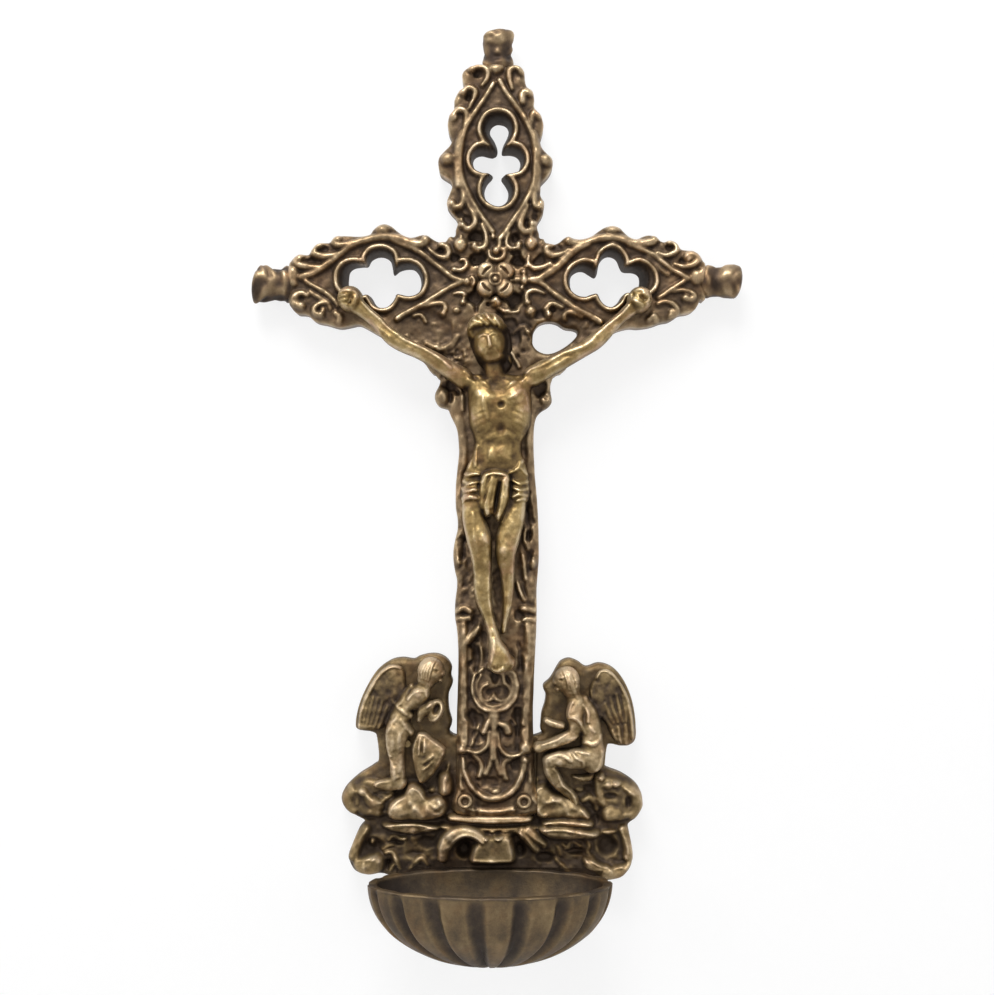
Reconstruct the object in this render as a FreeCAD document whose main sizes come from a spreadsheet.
"""Wall-hung holy water stoup: an openwork cross with a corpus, two angels on clouds and an oval fluted bowl.

Frame: millimetres, +Z up, the front faces -Y and the wall is the plane Y = 0. The origin is the middle of the
crossing's back pad, where the cross bears on the wall. "Depth" below is the distance in front of the wall.
"""
import FreeCAD, Part
import Sketcher
import os
from FreeCAD import Matrix, Placement, Rotation, Vector

SIZES = [  # alias, value, what it is
    ("plateDepth", 9.0, "cross plate, wall to front field"),
    ("plateSkin", 3.0, "thickness of the cross plate's front"),
    ("plateWall", 2.0, "side wall round the hollow back"),
    ("ribHeight", 1.2, "tracery above the field"),
    ("ribWidth", 1.3, "width of a tracery rib"),
    ("armHalfWidth", 13.0, "widest half width of an arm"),
    ("armHalfLength", 39.0, "half length of the arm's full lens, before its end is cut"),
    ("armMiddle", 32.3, "crossing to the widest place of an arm"),
    ("lensEnd", 57.0, "crossing to where the arm narrows to its neck"),
    ("neckHalfWidth", 4.4, "half width of that neck"),
    ("armEnd", 60.5, "crossing to the seat of the finial"),
    ("pocketEnd", 54.6, "crossing to the end of the wide hollow"),
    ("neckPocketEnd", 56.6, "crossing to the end of the narrow hollow in the neck"),
    ("neckPocketHalf", 5.2, "half width of the narrow hollow"),
    ("topShift", 3.0, "how much further out the top arm sits"),
    ("crossingHalf", 12.7, "half side of the square at the crossing"),
    ("padRadius", 5.0, "back pad at the crossing"),
    ("ribHalfWidth", 10.7, "half width of the pointed tracery frame"),
    ("ribHalfLength", 24.0, "half length of that frame"),
    ("ribStart", 8.0, "crossing to where the tracery begins"),
    ("foilRadius", 3.8, "end lobe of the pierced quatrefoil"),
    ("foilOffset", 9.2, "end lobe, off the quatrefoil's middle"),
    ("sideFoilRadius", 2.9, "side lobe of the quatrefoil"),
    ("sideFoilOffset", 4.2, "side lobe, off the middle"),
    ("foilThroat", 2.6, "half height of the slot between the side lobes"),
    ("foilNeck", 1.3, "half width of the slot between the end lobes"),
    ("foilWall", 1.1, "sleeve wall round the quatrefoil"),
    ("foilRim", 0.9, "ledge between the piercing and its raised rim"),
    ("stemHalfWidth", 11.8, "half width of the stem"),
    ("stemEnd", 154.0, "crossing to the foot of the stem"),
    ("lowerArmEnd", 42.0, "crossing to where the lower arm runs into the stem"),
    ("webDepth", 7.5, "front of the thin webs between arm and stem"),
    ("webSkin", 2.5, "their thickness"),
    ("seatHalfWidth", 5.5, "raised seat behind the corpus"),
    ("seatTop", 24.0, "crossing to the top of that seat"),
    ("seatBottom", 103.0, "crossing to its foot"),
    ("stemRibWidth", 2.0, "upright ribs on the stem's edges"),
    ("stemRibTop", 60.0, "crossing to the top of those ribs"),
    ("stemRibEnd", 134.5, "crossing to their foot"),
    ("roundelRadius", 6.5, "ring under the feet"),
    ("roundelDrop", 117.2, "its middle, below the crossing"),
    ("anchorRadius", 8.8, "round foot of the anchor-shaped frame"),
    ("anchorDrop", 139.6, "middle of that round foot"),
    ("shankHalfWidth", 1.3, "shank between roundel and foot"),
    ("beadRadius", 1.9, "beads round the crossing"),
    ("cornerPocket", 3.6, "side of the sunk squares round the rosette"),
    ("cornerPocketOff", 4.6, "their inner edge, off the middle"),
    ("cornerPocketDeep", 1.8, "how deep they are sunk"),
    ("finialRadius", 4.5, "knob at an arm's end"),
    ("finialLength", 10.8, "knob, seat to tip"),
    ("finialNeck", 4.1, "radius of the knob's neck"),
    ("spigotRadius", 1.6, "spigot of a knob"),
    ("spigotLength", 3.0, "length of that spigot"),
    ("fitGap", 0.05, "radial clearance of pins and spigots"),
    ("rosetteRadius", 6.1, "rosette, over its petals"),
    ("petalRadius", 2.5, "one petal"),
    ("rosetteDepth", 3.4, "rosette's height on the field"),
    ("pinRadius", 0.6, "pins of hands and feet"),
    ("pinHeadRadius", 1.3, "their heads"),
    ("pinGrip", 4.0, "how deep the hand pins go into the plate"),
    ("handReach", 42.6, "middle of a hand, off the centre line"),
    ("handDrop", 5.6, "middle of a hand, below the crossing"),
    ("feetDrop", 108.0, "pin of the feet, below the crossing"),
    ("limbDepth", 2.4, "axis of arms and legs, above the corpus's back"),
    ("angelLimbDepth", 2.4, "axis of the angels' limbs, above the base plate"),
    ("wingSkin", 2.2, "thickness of a wing"),
    ("baseDepth", 5.0, "base plate, wall to its flat front"),
    ("baseTop", 132.9, "crossing to the top of the lap behind the stem"),
    ("stepHeight", 2.0, "each step under the stem"),
    ("stepHalfWidth", 13.5, "upper step's half width"),
    ("stepGrowth", 2.6, "how much wider the lower step is, each side"),
    ("stepDepth", 10.5, "front of the upper step"),
    ("rivetRadius", 1.2, "rivets of the stem"),
    ("rivetHeadRadius", 2.2, "their heads"),
    ("rivetSpread", 8.8, "those rivets, off the centre line"),
    ("rivetRise", 4.0, "those rivets, above the stem's foot"),
    ("angelRivetRadius", 1.0, "rivets of the angels"),
    ("angelRivetGrip", 3.4, "how deep they go into an angel"),
    ("bowlShift", -2.1, "bowl's middle, off the stem's centre line"),
    ("bowlRim", 169.8, "crossing to the bowl's rim"),
    ("bowlHalfWidth", 34.0, "bowl outside, half width"),
    ("bowlHalfDepth", 18.4, "bowl outside, half depth from the wall"),
    ("bowlHeight", 23.5, "bowl outside, rim to bottom"),
    ("bowlCorner", 19.0, "radius of the bowl's side in profile"),
    ("bowlWall", 2.6, "wall of the bowl"),
    ("bowlFlat", 0.4, "how much the bowl's back is faced off"),
    ("fluteCount", 16, "grooves round the bowl"),
    ("fluteRadius", 4.6, "radius of a groove"),
    ("fluteBite", 1.4, "depth of a groove"),
    ("fluteRunOut", 14.0, "straight end of a groove, where it runs out of the bottom"),
    ("fluteTurn", 5.75, "the first groove, off the centre line, in degrees"),
    ("lugHalfWidth", 10.0, "lug on the bowl's back"),
    ("lugHeight", 13.0, "height of that lug"),
    ("studRadius", 1.5, "studs that hold the bowl"),
    ("studSpread", 5.6, "those studs, off the bowl's middle"),
    ("studDrop", 9.0, "those studs, below the rim"),
    ("studGrip", 2.6, "how deep a stud goes into the lug"),
    ("nutAcross", 5.5, "nut, across flats"),
    ("nutHeight", 2.0, "nut's height"),
    ("washerRadius", 3.3, "washer under a nut"),
    ("washerHeight", 0.5, "washer's thickness"),
    ("recessRadius", 3.6, "recess for washer and nut"),
    ("recessDepth", 2.9, "depth of that recess, from the wall"),
    ("ringRadius", 3.6, "hanging ring, middle of its wire"),
    ("ringWire", 0.6, "wire radius of the hanging ring"),
    ("ringSeat", 54.7, "crossing to the ring's pivot, before the top arm's shift"),
    ("ringDepth", 2.9, "ring's pivot, off the wall"),
    ("ringBarrel", 0.68, "radius of the ring's straight stretch in the staple"),
    ("ringBarrelHalf", 0.8, "half length of that stretch"),
    ("stapleWire", 0.4, "wire radius of the staple"),
    ("staplePlay", 0.15, "play of the ring's wire in the staple"),
    ("stapleGrip", 2.2, "how deep the staple's legs go into the skin"),
]
CROCKETS = {  # leaf knobs on an arm's edge: (along the arm, off its axis, radius)
    "tip": (57.8, 6.4, 2.7),
    "outer": (50.8, 8.6, 2.9),
    "middle": (44.0, 10.7, 2.9),
    "ball": (32.6, 13.9, 2.7),
    "inner": (19.6, 11.1, 2.9),
    "hook": (13.0, 9.3, 2.6),
}
BASE_LEFT = [  # outline of the base plate, from the stem down the left side to the bowl's middle
    (-12.9, -132.6), (-13.6, -127.0), (-14.2, -122.0), (-13.2, -116.0), (-14.6, -110.8), (-19.6, -108.1),
    (-25.5, -110.0), (-31.8, -110.2), (-37.2, -115.0), (-40.8, -122.5), (-41.4, -128.5), (-38.5, -130.9),
    (-35.6, -131.8), (-34.7, -137.5), (-37.5, -141.7), (-43.8, -147.3), (-45.4, -150.6), (-43.6, -153.6),
    (-38.8, -156.4), (-41.6, -161.5), (-43.5, -166.8), (-41.8, -171.2), (-36.5, -172.6), (-30.0, -178.5),
    (-20.0, -185.5),
]
BASE_BOTTOM = (-2.1, -188.0)
BASE_RIGHT = [  # and from there up the right side
    (16.0, -185.5), (26.0, -178.5), (32.5, -173.8), (37.5, -171.8), (39.6, -167.0), (38.6, -160.5),
    (38.7, -157.2), (41.8, -154.0), (42.3, -148.5), (38.5, -144.5), (31.9, -141.0), (31.4, -136.5),
    (32.6, -134.2), (37.5, -134.8), (40.4, -131.5), (39.9, -124.0), (36.6, -116.3), (31.5, -111.3),
    (27.0, -111.8), (21.3, -109.2), (16.4, -112.3), (14.2, -117.5), (14.3, -121.0), (12.9, -127.0),
    (12.1, -132.6),
]
CLOUDS = {  # billows on the base plate: (x, z, half width, half height, height on the plate)
    "cloud_upper_left": (-37.4, -149.6, 6.8, 4.4, 4.6),
    "cloud_upper_left_inner": (-27.0, -150.9, 8.0, 5.5, 6.0),
    "cloud_upper_left_stem": (-18.6, -150.9, 5.6, 5.5, 5.4),
    "cloud_lower_left": (-37.2, -164.6, 5.8, 7.2, 4.6),
    "cloud_lower_left_inner": (-26.0, -163.4, 8.0, 5.6, 4.2),
    "ledge_left": (-22.0, -157.0, 9.0, 1.6, 6.5),
    "cloud_upper_right": (35.8, -150.2, 5.8, 4.8, 4.6),
    "cloud_upper_right_inner": (26.5, -150.9, 8.0, 5.5, 6.0),
    "cloud_upper_right_stem": (18.4, -150.9, 5.4, 5.5, 5.4),
    "cloud_lower_right": (34.0, -164.8, 5.2, 6.8, 4.6),
    "cloud_lower_right_inner": (24.5, -163.4, 7.8, 5.6, 4.2),
    "ledge_right": (21.0, -157.6, 8.8, 1.9, 7.5),
    "drapery": (-1.0, -164.4, 9.0, 4.4, 5.0),
}
BEADS = [(-10.3, 11.0), (10.3, 11.0), (0.0, 9.4), (-8.4, 0.4), (8.4, 0.4), (-10.6, -8.2), (10.6, -8.2)]
WEBS = {  # thin webs of the casting in the corners under the arms: (x, z, radius)
    "web_left": (-18.0, -17.5, 8.0),
    "web_left_outer": (-25.0, -15.0, 6.0),
    "web_left_low": (-15.5, -25.5, 5.5),
    "web_right": (14.5, -25.0, 5.0),
}
CORPUS = {  # body of the figure: (x, z, half width, half height, depth above its back, half depth)
    "head": (-2.3, -17.2, 5.4, 6.8, 5.2, 5.0),
    "neck": (-0.6, -25.0, 3.2, 4.5, 3.6, 3.2),
    "shoulders": (-0.6, -29.5, 11.5, 4.2, 2.6, 3.8),
    "chest": (0.6, -35.0, 8.7, 9.0, 2.8, 5.4),
    "belly": (1.0, -45.0, 6.6, 8.0, 2.4, 4.4),
    "hips": (0.0, -56.5, 9.2, 7.4, 2.6, 5.4),
    "knot": (-0.6, -61.5, 4.8, 7.2, 4.6, 4.0),
    "cloth_left": (-8.6, -58.5, 2.6, 5.6, 2.6, 3.6),
    "cloth_right": (8.8, -59.5, 2.2, 6.2, 2.6, 3.6),
    "hair_left": (-7.4, -21.0, 2.4, 5.6, 2.4, 3.4),
    "hair_right": (2.8, -20.0, 2.4, 6.4, 2.4, 3.4),
    "beard": (-2.0, -23.4, 3.2, 3.0, 6.4, 3.2),
}
CROWN = (-2.5, -13.6, 4.9, 1.1, 6.2)  # x, z, radius, thickness, depth above the corpus's back
CROWN_TILT = 24.0  # degrees forward
SHOULDER = (12.4, -27.5, 3.3)  # off the centre line, z, radius
ARM_BEND = 0.55  # elbow: share of the way from the shoulder to the wrist
WRIST_RADIUS = 2.0
ELBOW_RADIUS = 2.6
HAND = (3.0, 2.4)  # palm's radius, and how far the wrist lies inside the hand's middle
LEGS = {  # hip, knee and ankle of each leg: (x, z, radius)
    "left": [(-5.6, -62.5, 4.3), (-3.4, -81.0, 3.2), (-2.4, -100.0, 2.0)],
    "right": [(5.2, -62.5, 4.2), (2.9, -80.5, 3.1), (1.2, -98.5, 1.9)],
}
FOOT = (-0.6, -107.0, 3.4, 6.8, 3.2, 2.8)  # as a row of CORPUS
ANGEL_LEFT = {  # (x, z, half width, half height, depth above its back, half depth)
    "head": (-19.4, -113.2, 4.4, 4.8, 2.8, 4.2),
    "neck": (-21.2, -118.2, 2.2, 3.0, 2.2, 2.6),
    "chest": (-22.9, -123.2, 4.4, 6.0, 2.2, 3.8),
    "waist": (-25.6, -131.0, 4.6, 6.4, 2.0, 3.8),
}
ANGEL_RIGHT = {
    "head": (19.8, -114.6, 4.2, 4.6, 2.8, 4.2),
    "neck": (21.6, -119.4, 2.2, 3.0, 2.2, 2.6),
    "chest": (23.2, -124.0, 4.2, 5.8, 2.2, 3.8),
    "waist": (26.6, -131.2, 4.6, 5.6, 2.0, 3.8),
    "seat": (28.2, -138.6, 3.8, 4.6, 2.0, 3.8),
}
ANGEL_LIMBS = {  # joints in turn: (x, z, radius)
    "left": [
        [(-22.6, -120.4, 2.3), (-23.6, -126.4, 2.0), (-18.0, -123.4, 1.7)],
        [(-26.4, -132.0, 4.2), (-26.2, -140.6, 3.5), (-33.2, -142.8, 1.8)],
        [(-19.2, -131.6, 2.6), (-17.2, -140.0, 4.2)],
        [(-23.2, -130.0, 2.3), (-19.2, -131.6, 2.6)],
    ],
    "right": [
        [(22.8, -120.6, 2.3), (20.8, -127.8, 1.9), (14.4, -131.0, 1.4)],
        [(27.0, -136.6, 3.9), (17.4, -134.8, 3.1), (18.2, -143.0, 1.8)],
    ],
}
WINGS = {  # outline of each wing, from the shoulder round its tip
    "left": [(-24.0, -114.5), (-30.6, -110.9), (-36.2, -115.5), (-39.3, -123.2), (-39.6, -128.0),
             (-34.6, -128.9), (-31.4, -123.6), (-25.5, -121.0)],
    "right": [(25.0, -116.0), (30.8, -111.9), (35.2, -116.2), (38.6, -123.8), (39.0, -131.0),
              (36.4, -133.2), (33.2, -127.6), (26.0, -124.0)],
}
ANGEL_RIVETS = {"left": [(-26.0, -133.0), (-20.4, -117.0)], "right": [(26.0, -133.0), (21.0, -118.5)]}
FORWARD = Rotation(Vector(1, 0, 0), 90)  # turns a primitive's axis from +Z to the front, -Y

doc = FreeCAD.newDocument("WallStoup")
sheet = doc.addObject("Spreadsheet::Sheet", "Sizes")
for row, (alias, value, meaning) in enumerate(SIZES, start=1):
    sheet.set(f"A{row}", alias)
    sheet.set(f"B{row}", str(value))
    sheet.set(f"C{row}", meaning)
    sheet.setAlias(f"B{row}", alias)
doc.recompute()


def size(alias):
    """The number that the sheet holds."""
    return float(sheet.get(alias))


def bind(thing, expressions):
    """Ties properties to the sheet; a word that is an alias stands for its cell."""
    aliases = {alias for alias, _, _ in SIZES}
    for prop, text in expressions.items():
        words = [f"Sizes.{w}" if w in aliases else w for w in text.split()]
        thing.setExpression(prop, " ".join(words))
    return thing


def disc(name, radius, x, z, front, back="0"):
    """A round bar along the depth, from back to front."""
    bar = doc.addObject("Part::Cylinder", name)
    bar.Placement = Placement(Vector(), FORWARD)
    return bind(bar, {
        "Radius": radius, "Height": f"{front} - ( {back} )",
        "Placement.Base.x": x, "Placement.Base.y": f"0 - ( {back} )", "Placement.Base.z": z,
    })


def block(name, x_from, x_to, z_from, z_to, front, back="0"):
    """A box between two places each way."""
    box = doc.addObject("Part::Box", name)
    return bind(box, {
        "Length": f"{x_to} - ( {x_from} )",
        "Height": f"{z_to} - ( {z_from} )",
        "Width": f"{front} - ( {back} )",
        "Placement.Base.x": x_from, "Placement.Base.y": f"0 - ( {front} )", "Placement.Base.z": z_from,
    })


def billow(name, x, z, half_width, half_height, depth, half_depth):
    """An ellipsoid whose middle stands at that depth; depth and half_depth are expressions."""
    form = doc.addObject("Part::Ellipsoid", name)
    form.Placement = Placement(Vector(x, 0, z), Rotation())
    form.Radius2 = half_width
    form.Radius1 = half_height
    form.Angle1 = -90
    form.Angle2 = 90
    return bind(form, {"Radius3": half_depth, "Placement.Base.y": f"0 - ( {depth} )"})


def fuse(name, shapes):
    joined = doc.addObject("Part::MultiFuse", name)
    joined.Shapes = shapes
    joined.Refine = False  # merging faces breaks where discs are tangent
    return joined


def common(name, shapes):
    shared = doc.addObject("Part::MultiCommon", name)
    shared.Shapes = shapes
    shared.Refine = False
    return shared


def cut(name, base, tool):
    left = doc.addObject("Part::Cut", name)
    left.Base = base
    left.Tool = tool
    left.Refine = False
    return left


def feature(name, shape):
    made = doc.addObject("Part::Feature", name)
    made.Shape = shape
    return made


# Cross plate

def lens(name, half_length, half_width, middle, front, back, inset="0", start="0", end="lensEnd"):
    """A pointed oval, the overlap of two big discs, cut off square at start and end."""
    radius = f"( {half_length} * {half_length} + {half_width} * {half_width} ) / ( 2 * {half_width} )"
    return common(name, [
        disc(name + "_disc_left", f"{radius} - {inset}", f"{radius} - {half_width}", middle, front, back),
        disc(name + "_disc_right", f"{radius} - {inset}", f"{half_width} - {radius}", middle, front, back),
        block(name + "_ends", "0 - 2 * armHalfWidth", "2 * armHalfWidth", start, end, front, back),
    ])


def foil(name, growth, front, back):
    """The quatrefoil, its lobes grown by that much."""
    lobes = [("outer", "foilRadius", "0", "foilOffset"), ("inner", "foilRadius", "0", "0 - foilOffset"),
             ("left", "sideFoilRadius", "0 - sideFoilOffset", "0"),
             ("right", "sideFoilRadius", "sideFoilOffset", "0")]
    return [disc(f"{name}_{lobe}", f"{radius} + {growth}", x, f"armMiddle + {z}", front, back)
            for lobe, radius, x, z in lobes] + [
        block(name + "_slot_across", "0 - sideFoilOffset", "sideFoilOffset",
              f"armMiddle - foilThroat - {growth}", f"armMiddle + foilThroat + {growth}", front, back),
        block(name + "_slot_along", f"0 - foilNeck - {growth}", f"foilNeck + {growth}",
              "armMiddle - foilOffset", "armMiddle + foilOffset", front, back)]


def crocket_pair(name, place):
    along, off, radius = CROCKETS[place]
    return [disc(f"{name}_{place}_{side}", str(radius), str(sign * off), str(along), "plateDepth")
            for side, sign in (("left", -1), ("right", 1))]


def turned(thing, angle, shifted):
    """Swings an arm's part from the top round the crossing."""
    thing.Placement = Placement(Vector(), Rotation(Vector(0, 1, 0), angle))
    if shifted:
        bind(thing, {"Placement.Base.z": "topShift"})
    return thing


FRONT = "plateDepth"
RIBS = "plateDepth + ribHeight"
FLOOR = "plateDepth - plateSkin"
solids, hollows, sleeves, piercings = [], [], [], []
for arm, angle in (("top", 0), ("right", 90), ("left", -90)):
    shifted = arm == "top"
    leaves = [knob for place in CROCKETS for knob in crocket_pair(arm, place)]
    field = lens(arm + "_field", "armHalfLength", "armHalfWidth", "armMiddle", FRONT, "0")
    frame = cut(arm + "_frame",
                lens(arm + "_frame_out", "ribHalfLength", "ribHalfWidth", "armMiddle", RIBS, FRONT, "0",
                     "ribStart"),
                lens(arm + "_frame_in", "ribHalfLength", "ribHalfWidth", "armMiddle", RIBS, FRONT, "ribWidth",
                     "ribStart"))
    rim = fuse(arm + "_rim", foil(arm + "_rim", "foilRim + ribWidth", RIBS, FRONT))
    rim_hole = fuse(arm + "_rim_hole",
                    foil(arm + "_rim_hole", "foilRim", RIBS, "plateDepth - plateSkin / 2"))
    neck = block(arm + "_neck", "0 - neckHalfWidth", "neckHalfWidth", "lensEnd - 3", "armEnd", FRONT)
    solids.append(turned(fuse(arm + "_arm", leaves + [field, neck, frame, rim]), angle, shifted))
    wide = lens(arm + "_hollow_wide", "armHalfLength", "armHalfWidth", "armMiddle", FLOOR, "0", "plateWall",
                "0", "pocketEnd")
    narrow = block(arm + "_hollow_neck", "0 - neckPocketHalf", "neckPocketHalf", "pocketEnd - 1",
                   "neckPocketEnd", FLOOR)
    hollows.append(turned(fuse(arm + "_hollow", [wide, narrow]), angle, shifted))
    sleeve = fuse(arm + "_sleeve", foil(arm + "_sleeve", "foilWall", FRONT, "0"))
    sleeves.append(turned(sleeve, angle, shifted))
    piercing = fuse(arm + "_piercing", foil(arm + "_piercing", "0", RIBS, "0"))
    piercings.append(turned(piercing, angle, shifted))
    piercings.append(turned(rim_hole, angle, shifted))

lower = lens("lower_field", "armHalfLength", "armHalfWidth", "armMiddle", FRONT, "0", "0", "0", "lowerArmEnd")
lower_knobs = [knob for place in ("ball", "inner") for knob in crocket_pair("lower", place)]
solids.append(turned(fuse("lower_arm", [lower] + lower_knobs), 180, False))
solids.append(block("crossing", "0 - crossingHalf", "crossingHalf", "0 - crossingHalf", "crossingHalf",
                    FRONT))
solids.append(block("stem", "0 - stemHalfWidth", "stemHalfWidth", "0 - stemEnd", "0", FRONT))
solids += [disc(name, str(radius), str(x), str(z), "webDepth", "webDepth - webSkin")
           for name, (x, z, radius) in WEBS.items()]
solids.append(block("corpus_seat", "0 - seatHalfWidth", "seatHalfWidth", "0 - seatBottom", "0 - seatTop",
                    RIBS, FRONT))
for side, edges in (("left", ("0 - stemHalfWidth", "stemRibWidth - stemHalfWidth")),
                    ("right", ("stemHalfWidth - stemRibWidth", "stemHalfWidth"))):
    solids.append(block(f"stem_rib_{side}", *edges, "0 - stemRibEnd", "0 - stemRibTop", RIBS, FRONT))


def ring_rib(name, radius, drop):
    """A raised ring on the stem."""
    return cut(name, disc(name + "_out", radius, "0", drop, RIBS, FRONT),
               disc(name + "_in", f"{radius} - ribWidth", "0", drop, RIBS, FRONT))


solids.append(ring_rib("roundel", "roundelRadius", "0 - roundelDrop"))
solids.append(common("anchor_foot", [
    ring_rib("anchor_ring", "anchorRadius", "0 - anchorDrop"),
    block("anchor_half", "0 - anchorRadius", "anchorRadius", "0 - anchorDrop - anchorRadius",
          "2 - anchorDrop", RIBS),
]))
solids.append(block("anchor_shank", "0 - shankHalfWidth", "shankHalfWidth", "1 - anchorDrop - anchorRadius",
                    "1 - roundelDrop - roundelRadius", RIBS, FRONT))
for number, (x, z) in enumerate(BEADS):
    solids.append(billow(f"bead_{number}", x, z, 1.9, 1.9, FRONT, "beadRadius"))
hollows.append(block("stem_hollow", "plateWall - stemHalfWidth", "stemHalfWidth - plateWall",
                     "plateWall - baseTop", "0", FLOOR))
for side, sx in (("left", -1), ("right", 1)):
    for level, sz in (("low", -1), ("high", 1)):
        inner, outer = "cornerPocketOff", "( cornerPocketOff + cornerPocket )"
        across = [inner, outer] if sx > 0 else [f"0 - {outer}", f"0 - {inner}"]
        upright = [inner, outer] if sz > 0 else [f"0 - {outer}", f"0 - {inner}"]
        hollows.append(block(f"corner_pocket_{side}_{level}", *across, *upright, RIBS,
                             "plateDepth - cornerPocketDeep"))
hollows.append(block("stem_lap", "0 - stemHalfWidth - 1", "stemHalfWidth + 1", "0 - stemEnd - 1",
                     "0 - baseTop", "baseDepth + fitGap"))
sleeves.append(disc("crossing_pad", "padRadius", "0", "0", FLOOR))

pin_holes = [
    disc("hand_hole_left", "pinRadius + fitGap", "0 - handReach", "0 - handDrop", RIBS,
         "plateDepth - pinGrip"),
    disc("hand_hole_right", "pinRadius + fitGap", "handReach", "0 - handDrop", RIBS,
         "plateDepth - pinGrip"),
    disc("feet_hole", "pinRadius + fitGap", "0", "0 - feetDrop", RIBS, "0"),
    disc("rosette_hole", "spigotRadius + fitGap", "0", "0", FRONT, "plateDepth - spigotLength"),
]
rivet_holes = [disc(f"stem_rivet_hole_{side}", "rivetRadius + fitGap", f"{sign} * rivetSpread",
                    "rivetRise - stemEnd", FRONT) for side, sign in (("left", -1), ("right", 1))]
leg_places = {"upper": 1, "lower": -1}
LEG_OFFSET = "( ringWire + staplePlay + stapleWire )"
leg_holes = [disc(f"staple_hole_{leg}", "stapleWire + fitGap", "0",
                  f"topShift + ringSeat + {sign} * {LEG_OFFSET}", f"{FLOOR} + stapleGrip + fitGap", FLOOR)
             for leg, sign in leg_places.items()]
spigot_holes = []
for arm, angle in (("top", 0), ("right", 90), ("left", -90)):
    hole = doc.addObject("Part::Cylinder", arm + "_spigot_hole")
    bind(hole, {"Radius": "spigotRadius + fitGap", "Height": "spigotLength + fitGap",
                "Placement.Base.y": "0 - plateDepth / 2",
                "Placement.Base.z": "armEnd - spigotLength - fitGap"})
    relief = block(arm + "_spigot_relief", "0 - fitGap", "fitGap", "armEnd - fitGap", "armEnd",
                   "plateDepth / 2 + fitGap", "plateDepth / 2 - fitGap")
    spigot_holes.append(turned(fuse(arm + "_spigot_bore", [hole, relief]), angle, arm == "top"))

shell = cut("plate_shell", fuse("plate_solid", solids), fuse("plate_hollow", hollows))
sleeved = fuse("plate_sleeved", [shell] + sleeves)
cross_plate = cut("cross_plate", sleeved,
                  fuse("plate_holes", piercings + pin_holes + rivet_holes + leg_holes + spigot_holes))

# Pieces turned on a lathe: knobs, rosette and pins


def lathe_body(name, label, corners):
    """A PartDesign body turned about Z; corners are (radius, height) expressions that start and end on Z."""
    body = doc.addObject("PartDesign::Body", name)
    body.Label = label
    plane = next(f for f in body.Origin.OriginFeatures if f.Role == "XZ_Plane")
    sketch = body.newObject("Sketcher::SketchObject", name + "_profile")
    sketch.AttachmentSupport = [(plane, "")]
    sketch.MapMode = "FlatFace"
    guess = [Vector(1.0 + i, 2.0 * i, 0) for i in range(len(corners))]
    for start, end in zip(guess, guess[1:] + guess[:1]):
        sketch.addGeometry(Part.LineSegment(start, end), False)
    count = len(corners)
    for i in range(count):
        sketch.addConstraint(Sketcher.Constraint("Coincident", i, 2, (i + 1) % count, 1))
    for i, (radius, height) in enumerate(corners):
        for kind, text in (("DistanceX", radius), ("DistanceY", height)):
            value = evaluate(text)
            if abs(value) < 1e-9:
                on_axis = -2 if kind == "DistanceX" else -1
                sketch.addConstraint(Sketcher.Constraint("PointOnObject", i, 1, on_axis))
                continue
            low, high = ((-1, 1), (i, 1)) if value > 0 else ((i, 1), (-1, 1))
            index = sketch.addConstraint(Sketcher.Constraint(kind, *low, *high, abs(value)))
            bind(sketch, {f"Constraints[{index}]": text if value > 0 else f"0 - ( {text} )"})
    doc.recompute()
    turn = body.newObject("PartDesign::Revolution", name + "_turn")
    turn.Profile = sketch
    turn.ReferenceAxis = (sketch, ["V_Axis"])
    turn.Angle = 360
    sketch.Visibility = False
    doc.recompute()
    return body


def evaluate(text):
    """An expression's value in part.py's own arithmetic."""
    values = {alias: value for alias, value, _ in SIZES}
    total = FreeCAD.ActiveDocument.getObject("Sizes").evalExpression(
        " ".join(f"Sizes.{w}" if w in values else w for w in text.split()))
    return float(total)


KNOB = [("0", "0 - spigotLength"), ("spigotRadius", "0 - spigotLength"), ("spigotRadius", "0"),
        ("finialNeck", "0"), ("finialNeck", "finialLength * 0.18"), ("finialRadius", "finialLength * 0.34"),
        ("finialRadius", "finialLength * 0.72"), ("finialRadius * 0.72", "finialLength * 0.93"),
        ("finialRadius * 0.3", "finialLength"), ("0", "finialLength")]
finials = []
for arm, angle in (("top", 0), ("right", 90), ("left", -90)):
    knob = lathe_body("finial_" + arm, "finial_" + arm, KNOB)
    seat = Placement(Vector(), Rotation(Vector(0, 1, 0), angle))
    knob.Placement = seat
    bind(knob, {"Placement.Base.y": "0 - plateDepth / 2",
                "Placement.Base.x": {"top": "0", "right": "armEnd", "left": "0 - armEnd"}[arm],
                "Placement.Base.z": "armEnd + topShift" if arm == "top" else "0"})
    finials.append(knob)

HAND_PIN = [("0", "0"), ("pinRadius", "0"), ("pinRadius", "ribHeight + 2 * limbDepth + pinGrip + 0.9"),
            ("pinHeadRadius", "ribHeight + 2 * limbDepth + pinGrip + 0.9"),
            ("pinHeadRadius * 0.7", "ribHeight + 2 * limbDepth + pinGrip + 1.5"),
            ("0", "ribHeight + 2 * limbDepth + pinGrip + 1.7")]
pins = {
    "hand_pin_left": ("0 - handReach", "0 - handDrop"),
    "hand_pin_right": ("handReach", "0 - handDrop"),
    "feet_pin": ("0", "0 - feetDrop"),
}
for name, (x, z) in pins.items():
    pin = lathe_body(name, name, HAND_PIN)
    pin.Placement = Placement(Vector(), FORWARD)
    bind(pin, {"Placement.Base.x": x, "Placement.Base.z": z, "Placement.Base.y": "pinGrip - plateDepth"})

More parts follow.
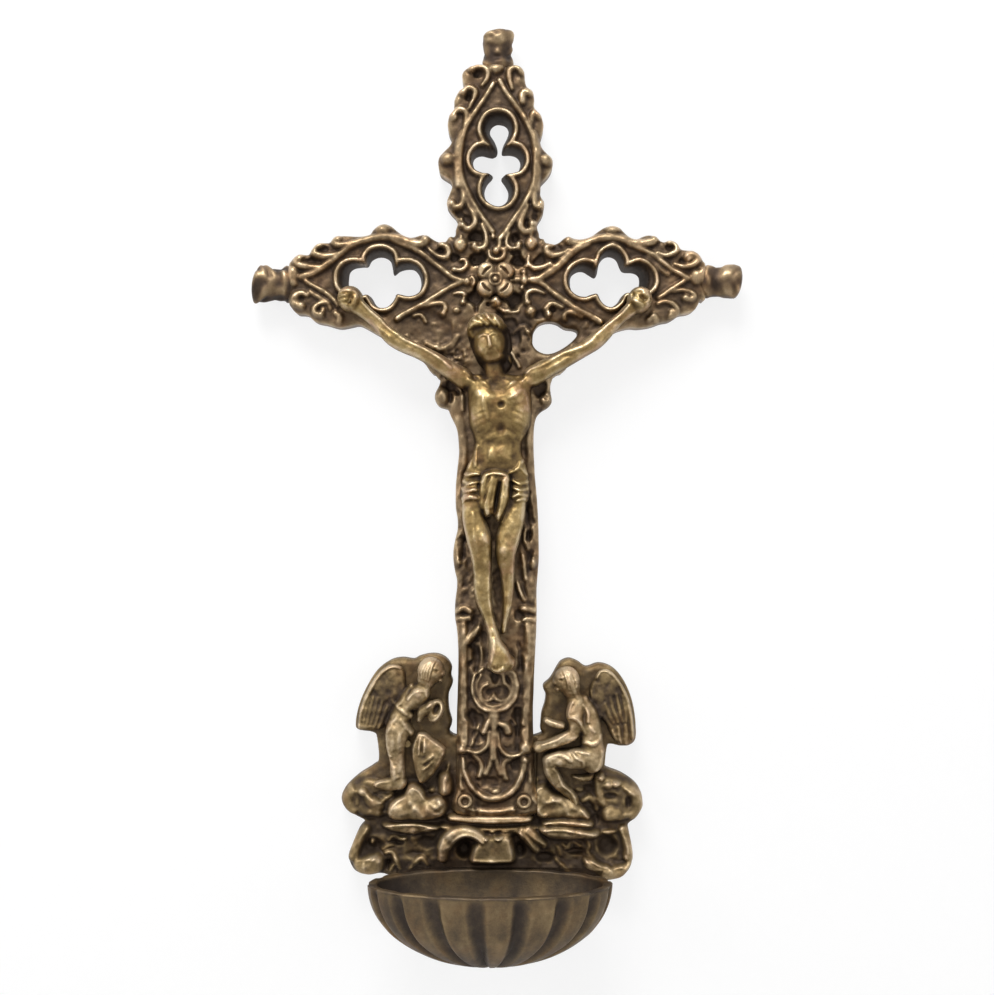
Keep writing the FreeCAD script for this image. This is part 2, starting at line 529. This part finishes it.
petals = [disc(f"petal_{side}_{level}", "petalRadius", f"{sx} * ( rosetteRadius - petalRadius ) * 0.7071",
               f"{sz} * ( rosetteRadius - petalRadius ) * 0.7071", "plateDepth + rosetteDepth * 0.8", FRONT)
          for side, sx in (("left", -1), ("right", 1)) for level, sz in (("low", -1), ("high", 1))]
heart = disc("rosette_heart", "petalRadius", "0", "0", "plateDepth + rosetteDepth", FRONT)
spigot = disc("rosette_spigot", "spigotRadius", "0", "0", FRONT, "plateDepth - spigotLength + fitGap")
rosette = fuse("rosette", petals + [heart, spigot])

# Corpus
CORPUS_BACK = size("plateDepth") + size("ribHeight")


def ellipsoid(x, z, half_width, half_height, depth, half_depth):
    """An ellipsoid at that depth in front of the wall."""
    ball = Part.makeSphere(1.0)
    stretch = Matrix()
    stretch.scale(half_width, half_depth, half_height)
    ball = ball.transformGeometry(stretch)
    ball.translate(Vector(x, -depth, z))
    return ball


def limb(start, end, depth):
    """A tapered round limb with a ball at each end; start and end are (x, z, radius)."""
    a, b = Vector(start[0], -depth, start[1]), Vector(end[0], -depth, end[1])
    taper = Part.makeCone(start[2], end[2], (b - a).Length, a, b - a)
    return [taper, Part.makeSphere(start[2], a), Part.makeSphere(end[2], b)]


def figure(forms, back, extra=()):
    """Fuses the forms and cuts them off flat at their back."""
    solids = [ellipsoid(x, z, w, h, back + depth, half) for x, z, w, h, depth, half in forms] + list(extra)
    whole = solids[0].multiFuse(solids[1:])
    low = whole.BoundBox
    front = Part.makeBox(low.XLength + 2, low.YLength + 20, low.ZLength + 2,
                         Vector(low.XMin - 1, -back - low.YLength - 20, low.ZMin - 1))
    return whole.common(front)


limb_axis = CORPUS_BACK + size("limbDepth")
limbs = []
for side in (-1, 1):
    shoulder = (side * SHOULDER[0], SHOULDER[1], SHOULDER[2])
    hand = Vector(side * size("handReach"), -size("handDrop"), 0)
    inward = (Vector(shoulder[0], shoulder[1], 0) - hand).normalize()
    wrist = hand + inward * HAND[1]
    elbow = Vector(shoulder[0], shoulder[1], 0) * (1 - ARM_BEND) + wrist * ARM_BEND
    limbs += limb(shoulder, (elbow.x, elbow.y, ELBOW_RADIUS), limb_axis)
    limbs += limb((elbow.x, elbow.y, ELBOW_RADIUS), (wrist.x, wrist.y, WRIST_RADIUS), limb_axis)
    limbs += [Part.makeSphere(HAND[0], Vector(hand.x, -limb_axis, hand.y))]
for joints in LEGS.values():
    for upper, under in zip(joints, joints[1:]):
        limbs += limb(upper, under, limb_axis)
crown_x, crown_z, crown_radius, crown_thickness, crown_depth = CROWN
crown = Part.makeTorus(crown_radius, crown_thickness)
crown.rotate(Vector(), Vector(1, 0, 0), CROWN_TILT)
crown.translate(Vector(crown_x, -CORPUS_BACK - crown_depth, crown_z))
limbs.append(crown)
body_shape = figure(list(CORPUS.values()) + [FOOT], CORPUS_BACK, limbs)
pin_bores = [Part.makeCylinder(size("pinRadius") + size("fitGap"), 40, Vector(x, 0, z), Vector(0, -1, 0))
             for x, z in ((-size("handReach"), -size("handDrop")), (size("handReach"), -size("handDrop")),
                          (0, -size("feetDrop")))]
head_depth = size("plateDepth") + size("ribHeight") + 2 * size("limbDepth") + 0.9 - size("fitGap")
pin_bores += [Part.makeCylinder(size("pinHeadRadius") + size("fitGap"), 40, Vector(x, -head_depth, z),
                                Vector(0, -1, 0))
              for x, z in ((-size("handReach"), -size("handDrop")), (size("handReach"), -size("handDrop")),
                           (0, -size("feetDrop")))]
corpus = feature("corpus", body_shape.cut(pin_bores[0].multiFuse(pin_bores[1:])))

# Base plate


def base_outline():
    """The base plate's outline: a smooth curve round angels' ground and clouds, closed behind the stem."""
    left_lap = (-size("stemHalfWidth"), -size("baseTop"))
    right_lap = (size("stemHalfWidth"), -size("baseTop"))
    places = [left_lap] + BASE_LEFT + [BASE_BOTTOM] + BASE_RIGHT + [right_lap]
    curve = Part.BSplineCurve()
    curve.interpolate([Vector(x, 0, z) for x, z in places])
    edge = curve.toShape()
    closing = Part.makeLine(Vector(right_lap[0], 0, right_lap[1]), Vector(left_lap[0], 0, left_lap[1]))
    return Part.Face(Part.Wire([edge, closing]))


slab = feature("base_slab", base_outline().extrude(Vector(0, -size("baseDepth"), 0)))
billows = [billow(name, x, z, w, h, "baseDepth", str(height))
           for name, (x, z, w, h, height) in CLOUDS.items()]
steps = [
    block("step_upper", "0 - stepHalfWidth", "stepHalfWidth", "0 - stemEnd - fitGap - stepHeight",
          "0 - stemEnd - fitGap", "stepDepth"),
    block("step_lower", "0 - stepHalfWidth - stepGrowth", "stepHalfWidth + stepGrowth",
          "0 - stemEnd - fitGap - 2 * stepHeight", "0 - stemEnd - fitGap - stepHeight", "stepDepth + 1.5"),
]
stem_seat = block("stem_seat", "0 - stemHalfWidth - fitGap", "stemHalfWidth + fitGap", "0 - stemEnd - fitGap",
                  "0 - baseTop + 1", "40", "baseDepth")
wall_side = block("wall_side", "-60", "60", "-200", "-90", "0", "-20")
base_holes = [disc(f"base_rivet_hole_{side}", "rivetRadius + fitGap", f"{sign} * rivetSpread",
                   "rivetRise - stemEnd", "baseDepth") for side, sign in (("left", -1), ("right", 1))]
STUD_X = {"left": "bowlShift - studSpread", "right": "bowlShift + studSpread"}
STUD_Z = "0 - bowlRim - studDrop"
for side, x in STUD_X.items():
    base_holes.append(disc(f"stud_hole_{side}", "studRadius + fitGap", x, STUD_Z, "baseDepth"))
    base_holes.append(disc(f"nut_recess_{side}", "recessRadius", x, STUD_Z, "recessDepth"))
for side, places in ANGEL_RIVETS.items():
    for level, (x, z) in zip(("low", "high"), places):
        base_holes.append(disc(f"angel_hole_{side}_{level}", "angelRivetRadius + fitGap", str(x), str(z),
                               "baseDepth"))
base_plate = cut("base_plate", fuse("base_solid", [slab] + billows + steps),
                 fuse("base_tools", [stem_seat, wall_side] + base_holes))

# Angels
def wing(places):
    """A flat wing with a smooth outline, lying on the base plate."""
    curve = Part.BSplineCurve()
    curve.interpolate([Vector(x, -size("baseDepth"), z) for x, z in places], PeriodicFlag=True)
    return Part.Face(Part.Wire(curve.toShape())).extrude(Vector(0, -size("wingSkin"), 0))


for side, forms in (("left", ANGEL_LEFT), ("right", ANGEL_RIGHT)):
    parts = [wing(WINGS[side])]
    for joints in ANGEL_LIMBS[side]:
        for upper, under in zip(joints, joints[1:]):
            parts += limb(upper, under, size("baseDepth") + size("angelLimbDepth"))
    shape = figure(list(forms.values()), size("baseDepth"), parts)
    bores = [Part.makeCylinder(size("angelRivetRadius") + size("fitGap"),
                               size("angelRivetGrip") + size("fitGap"),
                               Vector(x, -size("baseDepth"), z), Vector(0, -1, 0))
             for x, z in ANGEL_RIVETS[side]]
    feature("angel_" + side, shape.cut(bores[0].multiFuse(bores[1:])))

# Bowl


def bowl_profile(inset):
    """Half profile of the basin in the XZ plane: a round side that runs into a flatter round bottom."""
    reach, height = size("bowlHalfWidth") - inset, size("bowlHeight") - inset
    corner_radius = size("bowlCorner") - inset
    centre = reach - corner_radius
    bottom_radius = (centre ** 2 + height ** 2 - corner_radius ** 2) / (2 * (height - corner_radius))
    bottom_centre = Vector(0, 0, bottom_radius - height)
    corner_centre = Vector(centre, 0, 0)
    towards = (corner_centre - bottom_centre).normalize()
    join = corner_centre + towards * corner_radius
    middle = corner_centre + (Vector(1, 0, 0) + towards).normalize() * corner_radius
    low_middle = bottom_centre + (Vector(0, 0, -1) + towards).normalize() * bottom_radius
    return [Part.Arc(Vector(reach, 0, 0), middle, join).toShape(),
            Part.Arc(join, low_middle, Vector(0, 0, -height)).toShape()]


def basin(inset, rise):
    """The profile turned about Z; rise carries it straight up above the rim."""
    edges = bowl_profile(inset)
    reach, height = size("bowlHalfWidth") - inset, size("bowlHeight") - inset
    lines = [Vector(0, 0, -height), Vector(0, 0, rise), Vector(reach, 0, rise), Vector(reach, 0, 0)]
    if rise == 0:
        lines = lines[:2] + lines[3:]
    sides = [Part.makeLine(a, b) for a, b in zip(lines, lines[1:])]
    return Part.Face(Part.Wire(edges + sides)).revolve(Vector(), Vector(0, 0, 1), 360)


def flute():
    """A round groove that follows the profile."""
    radius = size("fluteRadius")
    offset = radius - size("fluteBite")
    side = bowl_profile(-offset)[0]
    start = Vector(size("bowlHalfWidth") + offset, 0, 0)
    top = Part.makeLine(start + Vector(0, 0, radius), start)
    end = side.valueAt(side.LastParameter)
    run_out = Part.makeLine(end, end + side.tangentAt(side.LastParameter) * size("fluteRunOut"))
    section = Part.Wire(Part.makeCircle(radius, start + Vector(0, 0, radius), Vector(0, 0, -1)))
    return Part.Wire([top, side, run_out]).makePipeShell([section], True, True)


outside = basin(0, 0)
grooves = []
for turn in range(int(size("fluteCount"))):
    groove = flute()
    groove.rotate(Vector(), Vector(0, 0, 1), 360 / size("fluteCount") * turn + size("fluteTurn") + 90)
    grooves.append(groove)
for groove in grooves:
    outside = outside.cut(groove)
squash = Matrix()
squash.scale(1, size("bowlHalfDepth") / size("bowlHalfWidth"), 1)
inner_squash = Matrix()
inner_squash.scale(1, (size("bowlHalfDepth") - size("bowlWall"))
                   / (size("bowlHalfWidth") - size("bowlWall")), 1)
oval_outside = outside.transformGeometry(squash)
oval_inside = basin(size("bowlWall"), 5).transformGeometry(inner_squash)
bowl_middle = Vector(size("bowlShift"), -(size("baseDepth") + size("bowlHalfDepth") - size("bowlFlat")),
                     -size("bowlRim"))
oval_outside.translate(bowl_middle)
oval_inside.translate(bowl_middle)
lug_drop = 2.0  # the lug starts this far under the rim
lug = Part.makeBox(2 * size("lugHalfWidth"), size("bowlHalfDepth"), size("lugHeight"),
                   Vector(size("bowlShift") - size("lugHalfWidth"),
                          -size("baseDepth") - size("bowlHalfDepth"),
                          -size("bowlRim") - lug_drop - size("lugHeight")))
behind = Part.makeBox(4 * size("bowlHalfWidth"), 20, 3 * size("bowlHeight"),
                      Vector(-2 * size("bowlHalfWidth"), -size("baseDepth"),
                             -size("bowlRim") - 2 * size("bowlHeight")))
bowl_shape = oval_outside.fuse(lug).cut(oval_inside).cut(behind)
stud_bores = [Part.makeCylinder(size("studRadius") + size("fitGap"), size("studGrip") + size("fitGap"),
                                Vector(size("bowlShift") + sign * size("studSpread"), -size("baseDepth"),
                                       -size("bowlRim") - size("studDrop")), Vector(0, -1, 0))
              for sign in (-1, 1)]
bowl = feature("bowl", bowl_shape.cut(stud_bores[0].multiFuse(stud_bores[1:])))

# Fasteners


def group(name, solids):
    """Identical fasteners share one node, each a solid of its own."""
    together = doc.addObject("Part::Compound", name)
    together.Links = solids
    return together


group("bowl_studs", [disc(f"stud_{side}", "studRadius", x, STUD_Z, "baseDepth + studGrip", "0.3")
                     for side, x in STUD_X.items()])
group("bowl_washers", [cut(f"washer_{side}",
                           disc(f"washer_{side}_disc", "washerRadius", x, STUD_Z, "recessDepth",
                                "recessDepth - washerHeight"),
                           disc(f"washer_{side}_hole", "studRadius + 2 * fitGap", x, STUD_Z,
                                "recessDepth", "0"))
                       for side, x in STUD_X.items()])
nuts = []
for side, x in STUD_X.items():
    hexagon = doc.addObject("Part::Prism", f"nut_{side}_hexagon")
    hexagon.Polygon = 6
    hexagon.Placement = Placement(Vector(), FORWARD)
    bind(hexagon, {"Circumradius": "nutAcross / 1.7320508", "Height": "nutHeight", "Placement.Base.x": x,
                   "Placement.Base.y": "nutHeight + washerHeight - recessDepth", "Placement.Base.z": STUD_Z})
    nuts.append(cut(f"nut_{side}", hexagon,
                    disc(f"nut_{side}_bore", "studRadius + fitGap", x, STUD_Z, "recessDepth", "0")))
group("bowl_nuts", nuts)
group("stem_rivets", [fuse(f"stem_rivet_{side}", [
    disc(f"stem_rivet_{side}_shank", "rivetRadius", f"{sign} * rivetSpread", "rivetRise - stemEnd", FRONT,
         "0.2"),
    disc(f"stem_rivet_{side}_head", "rivetHeadRadius", f"{sign} * rivetSpread", "rivetRise - stemEnd",
         "plateDepth + ribHeight", FRONT)]) for side, sign in (("left", -1), ("right", 1))])
group("angel_rivets", [disc(f"angel_rivet_{side}_{level}", "angelRivetRadius", str(x), str(z),
                            "baseDepth + angelRivetGrip", "0.2")
                       for side, places in ANGEL_RIVETS.items()
                       for level, (x, z) in zip(("low", "high"), places)])

# Hanger
PIVOT_Z = "topShift + ringSeat"
bridge_depth = f"( ringDepth - {LEG_OFFSET} )"
staple_parts = [disc(f"staple_leg_{leg}", "stapleWire", "0", f"{PIVOT_Z} + {sign} * {LEG_OFFSET}",
                     f"{FLOOR} + stapleGrip", bridge_depth) for leg, sign in leg_places.items()]
bridge = doc.addObject("Part::Cylinder", "staple_bridge")
staple_parts.append(bind(bridge, {"Radius": "stapleWire", "Height": f"2 * {LEG_OFFSET}",
                                  "Placement.Base.y": f"0 - {bridge_depth}",
                                  "Placement.Base.z": f"{PIVOT_Z} - {LEG_OFFSET}"}))
for leg, sign in leg_places.items():
    bend = doc.addObject("Part::Sphere", f"staple_bend_{leg}")
    staple_parts.append(bind(bend, {"Radius": "stapleWire", "Placement.Base.y": f"0 - {bridge_depth}",
                                    "Placement.Base.z": f"{PIVOT_Z} + {sign} * {LEG_OFFSET}"}))
fuse("hanger_staple", staple_parts)
loop = doc.addObject("Part::Torus", "ring_loop")
loop.Placement = Placement(Vector(), FORWARD)
bind(loop, {"Radius1": "ringRadius", "Radius2": "ringWire", "Placement.Base.y": "0 - ringDepth",
            "Placement.Base.z": f"{PIVOT_Z} - ringRadius"})
barrel = doc.addObject("Part::Cylinder", "ring_barrel")
barrel.Placement = Placement(Vector(), Rotation(Vector(0, 1, 0), 90))
bind(barrel, {"Radius": "ringBarrel", "Height": "2 * ringBarrelHalf",
              "Placement.Base.x": "0 - ringBarrelHalf", "Placement.Base.y": "0 - ringDepth",
              "Placement.Base.z": PIVOT_Z})
fuse("hanging_ring", [loop, barrel])

# Check and write
NODES = ["cross_plate", "finial_top", "finial_left", "finial_right", "rosette", "corpus", "hand_pin_left",
         "hand_pin_right", "feet_pin", "base_plate", "angel_left", "angel_right", "angel_rivets",
         "stem_rivets", "bowl", "bowl_studs", "bowl_washers", "bowl_nuts", "hanger_staple", "hanging_ring"]
doc.recompute()
for thing in doc.Objects:
    if "Invalid" in thing.State or "Error" in thing.State:
        raise RuntimeError(f"{thing.Name} failed: {thing.State}")
os.makedirs("parts", exist_ok=True)
for node in NODES:
    shape = doc.getObject(node).Shape
    if shape.isNull() or not shape.isValid():
        raise RuntimeError(f"{node} has no valid shape")
    shape.exportStep(f"parts/{node}.step")
    print(f"{node}: {len(shape.Solids)} solid(s), {shape.Volume / 1000:.2f} cm3, box {shape.BoundBox}")
